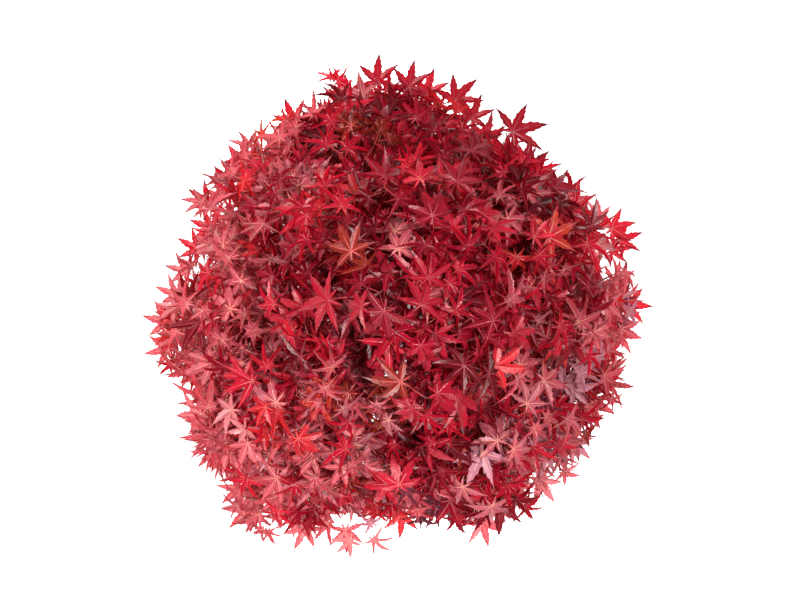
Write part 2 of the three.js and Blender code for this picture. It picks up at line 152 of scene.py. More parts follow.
def seeded(seed):
    """The repeatable stream of numbers from 0 to 1 that the solids use too, by the mulberry32 rule."""
    state = seed
    mask = 0xFFFFFFFF

    def draw():
        nonlocal state
        state = (state + 0x6D2B79F5) & mask
        t = ((state ^ (state >> 15)) * (state | 1)) & mask
        t ^= (t + ((t ^ (t >> 7)) * (t | 61) & mask)) & mask
        return ((t ^ (t >> 14)) & mask) / (mask + 1)

    return draw


def spread(random, width=1.0):
    """A random vector, each part from minus to plus half the width."""
    return np.array([random() - 0.5 for _ in range(3)]) * width


def between(limits, random):
    return lerp(limits[0], limits[1], random())


def add_object(name, data):
    made = bpy.data.objects.new(name, data)
    bpy.context.scene.collection.objects.link(made)
    return made


class Line:
    """A curve through close points, measured along its length."""

    def __init__(self, points):
        self.points = np.array(points)
        steps = norm(np.diff(self.points, axis=0), axis=1)
        self.runs = np.concatenate(((0,), np.cumsum(steps)))
        self.length = self.runs[-1]

    def at(self, share):
        run = np.asarray(share) * self.length
        return np.stack([np.interp(run, self.runs, self.points[:, k]) for k in range(3)], axis=-1)

    def heading(self, share):
        near = 0.5 / len(self.points)
        return unit(self.at(min(1, share + near)) - self.at(max(0, share - near)))


def bezier(points, t):
    """A Bezier curve's points at the shares t, by de Casteljau's rule."""
    t = np.asarray(t, float)[..., None]
    row = [np.asarray(p) + 0 * t for p in points]
    while len(row) > 1:
        row = [lerp(a, b, t) for a, b in zip(row, row[1:])]
    return row[0]


# ---- meshes
class Piece:
    """Vertices and triangles gathered for one mesh."""

    def __init__(self):
        self.points, self.faces, self.slots, self.count = [], [], [], 0

    def add(self, points, faces, slots):
        self.points.append(points)
        self.faces.append(faces + self.count)
        self.slots.append(np.broadcast_to(slots, len(faces)))
        self.count += len(points)

    def make(self, name, materials):
        points = np.concatenate(self.points).astype(np.float32)
        faces = np.concatenate(self.faces).astype(np.int32)
        mesh = bpy.data.meshes.new(name)
        mesh.vertices.add(len(points))
        mesh.vertices.foreach_set("co", points.ravel())
        mesh.loops.add(faces.size)
        mesh.loops.foreach_set("vertex_index", faces.ravel())
        mesh.polygons.add(len(faces))
        mesh.polygons.foreach_set("loop_start", np.arange(0, faces.size, 3, dtype=np.int32))
        mesh.polygons.foreach_set("material_index", np.concatenate(self.slots).astype(np.int32))
        mesh.polygons.foreach_set("use_smooth", np.ones(len(faces), bool))
        for material in materials:
            mesh.materials.append(material)
        mesh.update(calc_edges=True)
        mesh.validate()
        return add_object(name, mesh)


def tube_faces(rings, sides, closed=True):
    """The triangles between rings of points, which turn left along the way, and over both ends."""
    k, i = np.meshgrid(np.arange(rings - 1), np.arange(sides), indexing="ij")
    a, b = k * sides + i, k * sides + (i + 1) % sides
    round_it = np.stack((a, b, b + sides, a, b + sides, a + sides), axis=-1).reshape(-1, 3)
    if not closed:
        return round_it
    fan = np.array([(0, i, i + 1) for i in range(1, sides - 1)])
    return np.concatenate((round_it, fan[:, ::-1], fan + (rings - 1) * sides))


def side_vectors(points):
    """Two unit vectors square to the way at each point, carried along without twist."""
    ways = np.gradient(points, axis=0)
    ways /= norm(ways, axis=1)[:, None]
    across = np.cross(ways[0], (1, 0, 0) if abs(ways[0][0]) < ALONG_X else (0, 1, 0))
    first = []
    for way in ways:
        across = unit(across - way * (across @ way))
        first.append(across)
    first = np.array(first)
    return first, np.cross(ways, first)


def tube(points, radii, sides, closed=True):
    """A tube round a row of points. radii is one for each point, or one for each point and side."""
    first, second = side_vectors(points)
    angles = 2 * np.pi * np.arange(sides) / sides
    radii = np.broadcast_to(np.asarray(radii, float).reshape(len(points), -1), (len(points), sides))
    ring = first[:, None] * np.cos(angles)[:, None] + second[:, None] * np.sin(angles)[:, None]
    made = points[:, None] + ring * radii[..., None]
    return made.reshape(-1, 3), tube_faces(len(points), sides, closed)


# ---- trunk and limbs
def trunk_middle(t):
    ease = t * t * (3 - 2 * t)
    sway = TRUNK.sway * np.sin(2 * np.pi * t)
    x = TRUNK.lean[0] * ease - sway
    y = TRUNK.lean[1] * ease + TRUNK.side_sway * sway
    return np.stack((x, y, TRUNK.height * t), axis=-1)


def trunk_radius(height, angle):
    low = np.exp(-height / TRUNK.flare_height)
    ridge = TRUNK.root_depth * low * np.cos(TRUNK.roots * angle + TRUNK.root_turn)
    shaft = lerp(TRUNK.radius, TRUNK.fork_radius, height / TRUNK.height)
    return (shaft + TRUNK.flare * low) * (1 + ridge)


def limb_radius(limb, t):
    collar = LIMB.collar * np.exp(-t * limb.line.length / LIMB.collar_length)
    return lerp(limb.radius, LIMB.tip, t ** LIMB.taper) * (1 + collar)


def limb_line(parent, share, mass):
    start = parent.line.at(share)
    half = mass.half
    tip = mass.middle - mass.outwards * LIMB.entry[0] * half[0] * mass.spread
    tip = tip - UP * LIMB.entry[1] * half[2]
    span = norm(tip - start)
    own = unit(unit(tip - start) + mass.outwards * LIMB.splay * mass.spread)
    leave = unit(lerp(parent.line.heading(share), own, 0 if share == 1 else LIMB.fork_share))
    arrive = unit(lerp(unit(mass.middle - tip), UP, LIMB.rise))
    handles = [start, start + leave * LIMB.bend * span, tip - arrive * LIMB.bend * span, tip]
    return Line(bezier(handles, CURVE))


# The bark's furrows and rings: size along the limb, size round it, and depth.
WAVES = [(0.030, 0.0030, 0.00050), (0.011, 0.0016, 0.00028), (0.0035, 0.030, 0.00016)]
# Their strength at the trunk's foot and fork and at the foot of other limbs, the share left at their tips,
# how far the trunk is set back for them, and the seeds of the noise.
RELIEF = Named(
    trunk_foot=1.5, trunk_fork=0.9, leader=0.9, bough=0.7, tip_share=0.45,
    set_back=0.0002, trunk_seed=3.0, seed_step=10.0,
)


def relief(run, angle, radius, strength, seed):
    """How far the bark stands proud at a place on a limb, as a smooth function of the place."""
    total = 0.0
    for along, around, depth in WAVES:
        x = radius / around * math.cos(angle)
        y = radius / around * math.sin(angle)
        total += depth * noise.noise(Vector((x, y, run / along + seed)))
    return total * strength


def rough_radii(limb, count, seed, strength):
    """The radius of a limb with its bark, at each of count rings and each side."""
    radii = np.zeros((count, LIMB.sides))
    for k, share in enumerate(np.linspace(0, 1, count)):
        radius = limb_radius(limb, share)
        rough = lerp(strength, strength * RELIEF.tip_share, share)
        for i, angle in enumerate(2 * np.pi * np.arange(LIMB.sides) / LIMB.sides):
            radii[k, i] = radius + relief(share * limb.line.length, angle, radius, rough, seed)
    return radii


def dress_limb(node, limb, seed, strength, materials):
    count = max(LIMB.least_rings, round(limb.line.length / LIMB.ring_step))
    radii = rough_radii(limb, count, seed, strength)
    piece = Piece()
    piece.add(*tube(limb.line.at(np.linspace(0, 1, count)), radii, LIMB.sides), 0)
    made = piece.make("bark_" + node, materials)
    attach(made, "root")
    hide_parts(node)


def dress_trunk(materials):
    """Level rings, closer together at the foot, so that the cut at the ground is flat."""
    sides, rings, height = TRUNK.sides, TRUNK.rings, TRUNK.height
    rows = []
    for z in height * np.linspace(0, 1, rings) ** TRUNK.crowding:
        middle = trunk_middle(z / height)
        strength = lerp(RELIEF.trunk_foot, RELIEF.trunk_fork, z / height)
        for angle in 2 * np.pi * np.arange(sides) / sides:
            radius = trunk_radius(z, angle)
            radius += relief(z, angle, radius, strength, RELIEF.trunk_seed) - RELIEF.set_back
            rows.append(middle + np.array((radius * math.cos(angle), radius * math.sin(angle), 0)))
    piece = Piece()
    piece.add(np.array(rows), tube_faces(rings, sides), 0)
    made = piece.make("bark_trunk", materials)
    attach(made, "root")
    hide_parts("trunk")


# ---- the spaces of the masses
def make_masses():
    rows = [(n, a, reach - half[0], h, half, 1) for n, a, reach, h, half in RIM]
    rows += [(n, a, d, h, half, 0 if n == "top" else UPPER_SPREAD) for n, a, d, h, half in UPPER]
    masses = [
        Named(
            name=name,
            middle=polar(azimuth, distance, height),
            half=np.array(half),
            axes=np.array((polar(azimuth, 1, 0), polar(azimuth + 90, 1, 0), UP)),
            outwards=polar(azimuth, 1, 0),
            spread=share,
        )
        for name, azimuth, distance, height, half, share in rows
    ]
    for mass in masses:
        walls = [wall_between(mass, other) for other in masses if other is not mass]
        mass.wall_normals = np.array([normal for normal, _ in walls])
        mass.wall_offsets = np.array([offset for _, offset in walls])
    return masses


def wall_between(mass, other):
    """The plane between two masses, which parts the line between their middles as their half sizes do."""
    normal = other.middle - mass.middle
    gap = norm(normal)
    normal = normal / gap
    mine, its = (1 / norm(m.axes @ normal / m.half) for m in (mass, other))
    return normal, normal @ mass.middle + gap * mine / (mine + its)


def outness(mass, points):
    """How far points are out of the mass's own round: 1 on it, and less within."""
    return norm((points - mass.middle) @ mass.axes.T / mass.half, axis=-1)


def past_wall(mass, points):
    """How far points are past the nearest wall to a neighbour, less than 0 on the mass's own side."""
    return (points @ mass.wall_normals.T - mass.wall_offsets).max(axis=-1)


# ---- where sprays grow, by the rule of the solids
GOLDEN = math.pi * (3 - math.sqrt(5))


def even_direction(i, count):
    """Direction i of count that are spread evenly all round."""
    height = 1 - 2 * (i + 0.5) / count
    level = math.sqrt(1 - height * height)
    return np.array((level * math.cos(GOLDEN * i), level * math.sin(GOLDEN * i), height))


def room_outline():
    """The tips and notches of the stand-in leaf at unit length, with its foot at the origin."""
    spots = list(zip(ROOM.lobes, ROOM.lengths))
    spots += [((a + b) / 2, ROOM.notch * length) for (a, length), (b, _) in zip(spots, spots[1:])]
    spots.append((180, ROOM.back_notch))
    return np.array([polar(a * side, r, -ROOM.droop * r * r) for a, r in spots for side in (1, -1)])


def leaf_axes(forwards, normal):
    """A leaf's own axes, as rows: forwards, to its left and up out of its face."""
    left = unit(np.cross(normal, forwards))
    return np.array((np.cross(left, normal), left, normal))


def spray_sites(mass, random):
    """The places where the twigs of the solid end, spread over the mass."""
    away = unit(mass.middle - HEART)
    outline = room_outline()
    sites = []
    for i in range(SITES.directions):
        way = unit(even_direction(i, SITES.directions) + spread(random) * SITES.wander)
        turn = SITES.turn * (random() - 0.5)
        tilt = np.array((random() - 0.5, random() - 0.5, 0)) * SITES.tilt
        looks = way @ mass.axes
        if looks @ away < SITES.inward or way[2] < SITES.downward:
            continue
        forwards = turned(unit((looks + away * SITES.outward) * (1, 1, 0)), turn)
        axes = leaf_axes(forwards, unit(UP + looks * SITES.facing + tilt))
        share = 1 if (i + 1) % SITES.inner_every else SITES.inner
        place = furthest_place(mass, way, axes, outline, share)
        if place is not None:
            sites.append(Named(place=place, axes=axes, looks=looks, pairs=SITES.pairs, leaf=None))
    return sites


def furthest_place(mass, way, axes, outline, share):
    """The first place with room for the stand-in leaf, from this share of the way out and inwards."""
    while share > SITES.nearest:
        place = mass.middle + (way * mass.half * share) @ mass.axes
        for size in ROOM.sizes:
            points = place + outline @ axes * ROOM.length * size
            if outness(mass, points).max() <= 1 and past_wall(mass, points).max() <= -TWIG.clear:
                return place
        share -= SITES.retreat
    return None


def inner_sites(mass, random):
    """More places inside the mass, also low in it, for the finer twigs that the solids leave out."""
    sites = []
    for i in range(INNER.directions):
        way = unit(even_direction(i, INNER.directions) + spread(random, INNER.wander))
        place = mass.middle + (way * mass.half * between(INNER.share, random)) @ mass.axes
        looks = way @ mass.axes
        if past_wall(mass, place) > -INNER.clear or way[2] < INNER.downward:
            continue
        axes = leaf_axes(levelled(looks), UP)
        sites.append(Named(place=place, axes=axes, looks=looks, pairs=INNER.pairs, leaf=None))
    return sites


def joint_on(twig, share, run):
    """A place on a twig that others may leave. run is the length of wood below the twig."""
    near = bezier(twig.curve, (share - NEAR, share + NEAR))
    return Named(
        at=bezier(twig.curve, share), heading=unit(near[1] - near[0]),
        run=run + share * twig.span, radius=lerp(twig.radius, TWIG.tip, share),
        sweep=TWIG.sweep, used=0, twig=twig, share=share,
    )


def joint_cost(joint, site, least_rise):
    """What a twig to a site costs: its length, some of the wood below, and more where it hardly rises."""
    way = site.place - joint.at
    length = norm(way)
    rise = way @ site.axes[2] / length
    if rise < least_rise or joint.used >= TWIG.most_at_fork:
        return math.inf
    return length + TWIG.balance * joint.run + TWIG.flat_cost * max(0, TWIG.good_rise - rise)


def grow_twig(joint, site, twigs, joints):
    """A twig from a joint to a site: a curve, with its radius where it leaves and joints of its own."""
    span = norm(site.place - joint.at)
    leave = lerp(unit(site.place - joint.at), joint.heading, joint.sweep)
    curve = [joint.at, joint.at + leave * TWIG.bend * span, site.place]
    radius = max(TWIG.least, joint.radius * TWIG.fork_share)
    twig = Named(curve=curve, span=span, radius=radius, site=site, last=0)
    twigs.append(twig)
    joint.used += 1
    joint.twig.last = max(joint.twig.last, joint.share)
    count = int(span / TWIG.joint_every)
    joints.extend(joint_on(twig, k / (count + 1), joint.run) for k in range(1, count + 1))


def grow_twigs(mass, start, heading, random):
    """The twigs of a mass: one to the furthest site, and each other from the joint that costs least."""
    joints, twigs = [], []
    sites = sorted(spray_sites(mass, random), key=lambda site: norm(site.place - start))
    furthest = max(sites, key=lambda site: (site.place - start) @ heading)
    stem = Named(
        at=start, heading=heading, run=0, radius=TWIG.stem / TWIG.fork_share,
        sweep=1, used=0, twig=Named(last=0), share=0,
    )
    grow_twig(stem, furthest, twigs, joints)
    rows = [(site, TWIG.least_rise) for site in sites if site is not furthest]
    rows += [(site, INNER.least_rise) for site in inner_sites(mass, random) + lone_sites(mass)]
    for site, least_rise in rows:
        costs = [joint_cost(joint, site, least_rise) for joint in joints]
        best = min(range(len(joints)), key=costs.__getitem__)
        if costs[best] < math.inf:
            grow_twig(joints[best], site, twigs, joints)
    return twigs


# ---- leaves
# The lobes of a leaf of unit length: angle from the middle one, length, teeth, and half width as a share of
# the length.
LOBES = [(0, 1.0, 5, 0.126), (48, 0.94, 5, 0.124), (99, 0.76, 4, 0.122), (147, 0.36, 2, 0.13)]
SINUSES = (0.195, 0.18, 0.125, 0.045)  # radius of the gap after each lobe, where the next one joins it
WIDEST = (1.2, 2.15)  # powers that shape a lobe: it is widest at their share, and drawn out to its tip
HEART_ZONE, BLADE_ZONE, TIP_ZONE, VEIN_ZONE = range(4)
LOBE = Named(
    long=0.5,  # a lobe of more than this length is a long one
    foot=0.13,  # how far from the heart the teeth of a long lobe begin
    short_foot=0.25,  # and those of a short lobe, as a share of its length
    crowding=0.9,  # below 1, teeth get shorter towards the tip
    tooth=0.12,  # how far a tooth stands out, as a share of the half width there
    tooth_tip=0.78,  # how far along a tooth its tip is
    edge=0.003,  # half width that is added all along
    gap_rise=0.35,  # how far the gaps between lobes rise with the fold
    least_arch=0.05,
)
# A vein's half width at the foot of a lobe, how much is lost at the tip, how far it stands proud, and the
# shares of the lobe where it ends and where it has points before that.
VEIN = Named(width=0.0115, taper=0.9, lift=0.0035, end=0.9, long=(0.02, 0.3, 0.62), short=(0.02, 0.5))
# How the lobes of one leaf differ: least share and range of length, width and fold, and the range of the
# angle, of the arch (which begins with this share of it below the leaf's own) and of the curve to one side.
DIFFER = {
    "length": (0.92, 0.16), "width": (0.85, 0.3), "fold": (0.8, 0.4), "angle": 7, "arch": 0.4,
    "arch_below": 0.4, "side": 0.2,
}
FORMS = 16  # differently folded leaves, from nearly flat to drooping like an umbrella
FORM_SEED = 7
FLAT = Named(arch=0.3, fold=0.35)
ARCHES = (0.15, 1.0)  # how far lobes bend down along their length, in radians
FOLDS = (0.35, 1.35)  # how far each side of a lobe folds up from its midrib, in radians


def lobe_width(s):
    """Half the width of a lobe at share s of its length, where 1 is its widest."""
    a, b = WIDEST
    s0 = a / (a + b)
    return (s / s0) ** a * ((1 - s) / (1 - s0)) ** b


def differing(name, random):
    least, more = DIFFER[name]
    return least + more * random()


class LeafForm:
    """One way that a leaf is folded and arched, as points, triangles and the zone of each triangle."""

    def __init__(self, random, arch, fold):
        self.points, self.faces, self.zones = [], [], []
        lobes = sorted(LOBES + [(-angle, *rest) for angle, *rest in LOBES[1:]])
        angles = [lobe[0] for lobe in lobes]
        bounds = [-180, *((a + b) / 2 for a, b in zip(angles, angles[1:])), 180]
        radii = [*SINUSES[::-1], *SINUSES]
        gaps = [self.gap_point(angle, radius, fold) for angle, radius in zip(bounds, radii)]
        for k, (angle, length, teeth, width) in enumerate(lobes):
            own = Named(
                angle=math.radians(angle + DIFFER["angle"] * (random() - 0.5)),
                length=length * differing("length", random),
                width=width * differing("width", random),
                arch=arch + DIFFER["arch"] * (random() - DIFFER["arch_below"]),
                side=DIFFER["side"] * (random() - 0.5),
                fold=fold * differing("fold", random),
                teeth=teeth,
            )
            self.half_lobe(own, gaps[k + 1], 1)
            self.half_lobe(own, gaps[k], -1)
            self.vein(own)
        self.points, self.faces = np.array(self.points), np.array(self.faces)
        self.zones = np.array(self.zones)

    @staticmethod
    def gap_point(angle, radius, fold):
        return polar(angle, radius, radius * LOBE.gap_rise * math.sin(fold))

    @staticmethod
    def on_lobe(own, s, w):
        """The point at share s of a lobe and w to its left, folded up at the sides and arched down."""
        arch = max(LOBE.least_arch, own.arch)
        run = own.length * math.sin(arch * s) / arch
        fall = own.length * (1 - math.cos(arch * s)) / arch
        c, d = math.cos(own.angle), math.sin(own.angle)
        side = w * math.cos(own.fold) + own.side * s * s * own.length
        return np.array((c * run - d * side, d * run + c * side, abs(w) * math.sin(own.fold) - fall))

    def point(self, place):
        self.points.append(place)
        return len(self.points) - 1

    def face(self, a, b, c, zone, hand):
        self.faces.append((a, b, c) if hand > 0 else (a, c, b))
        self.zones.append(zone)

    def half_lobe(self, own, gap, hand):
        """One side of a lobe, from midrib to toothed edge. hand is 1 on the left and -1 on the right."""
        teeth, length = own.teeth, own.length
        wide = own.width * length
        foot = LOBE.foot / length if length > LOBE.long else LOBE.short_foot
        notches = [lerp(foot, 1, (k / teeth) ** LOBE.crowding) for k in range(teeth + 1)]
        mid = [self.point(np.zeros(3))] + [self.point(self.on_lobe(own, s, 0)) for s in notches[1:]]
        edge = self.point(gap)
        for k in range(1, teeth + 1):
            tip = lerp(notches[k - 1], notches[k], LOBE.tooth_tip)
            out = wide * lobe_width(tip) * (1 + LOBE.tooth) + LOBE.edge
            zone = HEART_ZONE if k == 1 else TIP_ZONE if k >= teeth - 1 and teeth > 2 else BLADE_ZONE
            at_tip = self.point(self.on_lobe(own, tip, hand * out))
            notch = mid[-1]
            if k < teeth:
                out = wide * lobe_width(notches[k]) * (1 - LOBE.tooth)
                notch = self.point(self.on_lobe(own, notches[k], hand * out))
            self.face(mid[k - 1], mid[k], at_tip, zone, hand)
            self.face(mid[k - 1], at_tip, edge, zone, hand)
            if notch != mid[k]:
                self.face(mid[k], notch, at_tip, zone, hand)
            edge = notch

    def vein(self, own):
        """A pale rib in the fold of a lobe, which tapers to nothing."""
        shares = VEIN.long if own.length > LOBE.long else VEIN.short
        lift = np.array((0, 0, VEIN.lift))
        pairs = []
        for s in shares:
            half = VEIN.width * (1 - VEIN.taper * s)
            pairs.append([self.point(self.on_lobe(own, s, hand * half) + lift) for hand in (1, -1)])
        end = self.point(self.on_lobe(own, VEIN.end, 0) + lift)
        for (left, right), (next_left, next_right) in zip(pairs, pairs[1:]):
            self.face(right, next_right, next_left, VEIN_ZONE, 1)
            self.face(right, next_left, left, VEIN_ZONE, 1)
        left, right = pairs[-1]
        self.face(right, end, left, VEIN_ZONE, 1)


# ---- colours
def linear(code):
    """A colour of six hexadecimal digits, as Blender's linear red, green, blue and alpha."""
    values = [int(code[i:i + 2], 16) / 255 for i in (0, 2, 4)]
    return (*(v / 12.92 if v <= 0.04045 else ((v + 0.055) / 1.055) ** 2.4 for v in values), 1)


# Leaf colours: the colour, the light that comes through, and the tones of heart, tips and veins.
TONES = {
    "wine": ("48040e", "8e0c16", "wine", "wine", "vein_dark"),
    "garnet": ("660618", "b00e18", "garnet", "wine", "vein_dark"),
    "crimson": ("840a20", "c6141e", "crimson", "wine", "vein_dark"),
    "cherry": ("941228", "d01c24", "cherry", "garnet", "vein"),
    "scarlet": ("a01a24", "d02420", "scarlet", "garnet", "vein"),
    "flame": ("9c281c", "c43a20", "scarlet", "crimson", "vein_pale"),
    "rose": ("9c424c", "c83e44", "rose", "crimson", "vein_pale"),
    "dusty": ("8c424c", "b84446", "rose", "garnet", "vein_pale"),
    "blush": ("a65c64", "c85654", "blush", "rose", "vein_pale"),
    "mauve": ("9c6472", "a8505a", "mauve", "dusty", "vein_pale"),
    "brick": ("6e1c14", "982c18", "brick", "wine", "vein"),
    "plum": ("542430", "7a2836", "plum", "wine", "vein_dark"),
    "vein_dark": ("96343e", "b03a40"),
    "vein": ("bc5856", "cc5450"),
    "vein_pale": ("c88476", "d88474"),
}
TONE_NAMES = list(TONES)
PLAIN_SHARE = 0.3  # share of the leaves that have the same tone all over
# How often a spray has each tone: on the crown's side with painted shade, on its side with painted light,
# on its side with painted sheen and plum leaves, in pockets of painted shade and in patches of painted
# light.
CHANCES = {
    "wine": (2, 0.2, 1.5, 6, 0),
    "garnet": (6, 0.6, 2.5, 9, 0.2),
    "crimson": (9, 1.3, 2.5, 4, 0.5),
    "cherry": (5, 3, 1, 1, 2),
    "scarlet": (0.2, 2, 0.7, 0.2, 2.5),
    "flame": (0, 0.3, 0.2, 0, 0.2),
    "brick": (0.7, 0.5, 1, 1.5, 0),
    "plum": (0, 0, 5, 0, 0),
    "rose": (0.5, 11, 2, 0, 10),
    "dusty": (0.3, 8, 5, 0.3, 4),
    "blush": (0, 1, 4.5, 0, 2),
    "mauve": (0, 0, 7, 0, 0.2),
}
# Painted shade: its middle, how little it reaches to +Y, the radius all in painted shade, and how fast it
# ends.
# Painted sheen lies where x and y, times these, come to more than the last number.
SHADE = Named(middle=(0.06, 0.12), stretch=0.6, radius=0.10, gain=5.4, dull=(4, -5, 0.8))
# Where the pockets of painted shade and the patches of painted light are: x, y and radius.
SHADE_POCKETS = [(-0.030, 0.250, 0.090), (0.042, 0.166, 0.080), (-0.054, 0.024, 0.105), (0.064, -0.138, 0.115)]
LIGHT_PATCHES = [(-0.199, 0.274, 0.080), (-0.180, -0.050, 0.080), (0.192, -0.051, 0.080), (0.320, -0.120, 0.080)]


def nearness(place, spots):
    """1 in the inner half of any of the spots, and down to 0 at its edge."""
    near = max(1 - math.hypot(place[0] - x, place[1] - y) / radius for x, y, radius in spots)
    return clamp(2 * near)


def pick_tone(place, random):
    """A spray's tone, with light and shade painted in: painted shade round a point to +Y of the crown's
    middle, rosy painted light towards the rest of its rim, and painted sheen in greyer tones between +X and
    -Y."""
    x, y = place[:2] - SHADE.middle
    # lit is 0 where shade is painted and 1 where light is painted.
    lit = clamp(SHADE.gain * (math.hypot(x, y * SHADE.stretch if y > 0 else y) - SHADE.radius))
    by_x, by_y, sheen_from = SHADE.dull
    # Painted sheen: greyer mauve and pink tones, with some plum leaves, between +X and -Y.
    dull = clamp(by_x * place[0] + by_y * place[1] - sheen_from)
    shares = (lit, dull, nearness(place, SHADE_POCKETS), nearness(place, LIGHT_PATCHES))
    weights = {}
    for name, (weight, *others) in CHANCES.items():
        for other, share in zip(others, shares):
            weight = lerp(weight, other, share)
        weights[name] = weight
    draw = random() * sum(weights.values())
    for name, weight in weights.items():
        draw -= weight
        if draw <= 0:
            return name
    return name


# ---- sprays
SPRAY = Named(
    nodes=(0.003, 0.026, 0.050, 0.076),  # how far back from a twig's end its pairs of leaves stand
    sizes=(0.85, 1, 1, 0.95),  # how large the leaves of each pair are
    first=0.3,  # share of the way along a twig before which none of them stands
    stalk=(0.024, 0.042),  # shortest and longest stalk
    leaf=(0.042, 0.056),  # length of the middle lobe
    leaf_size=(1.04, 1.14),  # how much larger leaves are over the middle and at the rim
    tries=((1, 1), (0.65, 1), (0.35, 0.95), (0.2, 0.85)),  # shares of stalk and leaf tried in turn for room
    reach=(0.76, 1.06),  # how far out of the mass's own round a spray may stand, where 1 is on it
    bridge=(0.15, 0.035),  # more reach beside a wall, and how fast it falls off away from the wall
    past_wall=0.026,  # how far a leaf's tips may reach past a wall
    rim=0.36,  # distance from the axis where the crown is thinnest
    rim_share=0.38,  # share of the leaves that a spray has there
    same_tone=0.5,  # share of the pairs that have the tone of their spray
)
# How a leaf hangs. Pairs of numbers are over the crown's middle and at its rim.
HANG = Named(
    rise=0.3,  # share of its stalk's rise that the leaf leans with
    outwards=0.75,  # how much it points away from the crown's middle beside along its stalk
    turn=0.9,  # how much that direction varies, in radians
    lean_out=(0.4, 0.1),  # how far its face leans to the outside of its mass
    lean_along=(0.2, 0.1),  # how far it leans along its stalk
    tumble=(1.5, 0.75),  # how far it leans at random
    forms=(1, 0.6),  # share of the forms in use, of which the last droop most
    stalk_out=0.8, stalk_up=0.35,  # the stalk's own way: along the direction it leaves in, and up
)
# How a pair of leaves stands on its shoot.
PAIR = Named(upright=0.05, turn=0.5, forwards=0.55, up=0.1, lowest=-0.1, fall_left=0.2)
# Side shoots on a twig: spacing, length, place, direction, how far out they may reach, the turn and size
# of their leaves, and their bend.
SIDE = Named(
    every=0.046, length=(0.034, 0.058), first=0.6, stray=0.3, spare=0.8, forwards=0.7, up=0.3,
    wander=0.5, reach=0.95, turn=0.3, size=0.85, bend=(0.02, 0.006),
)
LIMB_SHOOTS = Named(
    shares=(0.55, 0.98), every=0.016, length=(0.018, 0.055), round=2.4, up=0.35, wander=0.4,
    forwards=0.5, root=0.6, arch=0.004, turn=0.4, size=0.9,
)
# Twigs, shoots and stalks as tubes. A twig's radii come from the rule, and a stalk's is larger at its foot.
TWIG_TUBE = Named(ring_step=0.010, least_rings=5, sides=6)
SHOOT_TUBE = Named(rings=5, sides=5, radii=(0.0009, 0.0006))
STALK_TUBE = Named(rings=4, sides=3, radius=0.00055, foot=1.3, bend=0.6)
# Bays in the crown's outline: azimuth, half width in degrees, and the distance from the axis that leaves
# keep to.
BAYS = [
    (15, 4, 0.352), (30, 6, 0.385), (117, 7, 0.392), (158, 9, 0.330), (171, 4, 0.388), (202, 5, 0.382),
    (216, 9, 0.402), (261, 5, 0.366), (280, 7, 0.330), (351, 5, 0.380),
]
# Leaves that stand out on long stalks, by mass: foot of the blade, azimuth it points to, length, tone, and
# how many pairs of leaves the twig has besides.
# Their tones carry the same painted light and shade as the crown: darker towards +Y, rose on the side with
# painted light, and blush and mauve for painted sheen between +X and -Y.
LONE = {
    "upper_east": [
        ((0.168, 0.266, 0.800), 20, 0.063, "garnet", 0),
    ],
    "top": [
        ((-0.012, 0.028, 1.004), 15, 0.062, "crimson", 0),
        ((0.052, -0.010, 0.990), 120, 0.057, "garnet", 1),
    ],
    "east": [
        ((0.392, 0.018, 0.560), 2, 0.054, "cherry", 2),
        ((0.358, 0.146, 0.590), 18, 0.053, "cherry", 2),
        ((0.376, -0.030, 0.560), 354, 0.053, "rose", 2),
        ((0.374, 0.126, 0.580), 24, 0.051, "crimson", 1),
    ],
    "north": [
        ((0.022, 0.378, 0.600), 84, 0.057, "garnet", 2),
        ((-0.030, 0.386, 0.600), 92, 0.059, "garnet", 2),
        ((0.096, 0.352, 0.620), 50, 0.062, "garnet", 3),
        ((0.050, 0.366, 0.600), 78, 0.057, "crimson", 3),
        ((-0.078, 0.362, 0.590), 104, 0.051, "crimson", 1),
        ((-0.168, 0.322, 0.590), 118, 0.054, "crimson", 0),
        ((-0.236, 0.256, 0.585), 133, 0.054, "crimson", 1),
    ],
    "north_east": [
        ((0.122, 0.318, 0.640), 72, 0.053, "garnet", 2),
    ],
    "west": [
        ((-0.275, 0.223, 0.600), 141, 0.044, "crimson", 0),
        ((-0.309, 0.188, 0.600), 152, 0.050, "crimson", 1),
        ((-0.306, 0.147, 0.590), 165, 0.048, "cherry", 1),
        ((-0.330, 0.112, 0.580), 158, 0.049, "cherry", 1),
        ((-0.350, 0.076, 0.580), 172, 0.046, "dusty", 1),
        ((-0.368, 0.036, 0.570), 166, 0.048, "rose", 2),
        ((-0.385, -0.010, 0.570), 172, 0.053, "rose", 1),
        ((-0.386, -0.056, 0.560), 196, 0.051, "rose", 2),
        ((-0.350, -0.090, 0.565), 205, 0.048, "rose", 1),
    ],
    "south_west": [
        ((-0.258, -0.282, 0.600), 228, 0.050, "rose", 2),
        ((-0.245, -0.318, 0.600), 232, 0.055, "rose", 1),
        ((-0.150, -0.350, 0.590), 248, 0.053, "rose", 1),
    ],
    "south": [
        ((0.010, -0.332, 0.575), 270, 0.052, "scarlet", 3),
        ((-0.085, -0.362, 0.560), 275, 0.051, "rose", 0),
        ((0.144, -0.345, 0.575), 290, 0.055, "rose", 1),
    ],
    "south_east": [
        ((0.232, -0.268, 0.620), 312, 0.055, "blush", 3),
        ((0.318, -0.138, 0.630), 336, 0.053, "rose", 2),
        ((0.284, -0.204, 0.625), 324, 0.053, "mauve", 2),
    ],
}
LONE_STALK = Named(back=0.036, below=0.012, lean=0.12)  # where it begins from its leaf, and the leaf's lean
STEM_ROOT = 0.003  # how deep the stem of a mass stands in the tip of its limb
TIP_FALL = 0.2  # how far the tips of a leaf's lobes hang where its room is tried
FORM_TIPS = np.array([
    polar(angle * side, length, -TIP_FALL * length) for angle, length, _, _ in LOBES[:3] for side in (1, -1)
])
# The material slot of each node, as the record has it.
NODE_SLOTS = {row["node"]: row["material_slot"] for row in frame["record"]["subparts"]}


def rimward(place):
    """0 on the crown's axis, and 1 at its rim and beyond."""
    return min(1, np.hypot(*place[:2]) / SPRAY.rim)


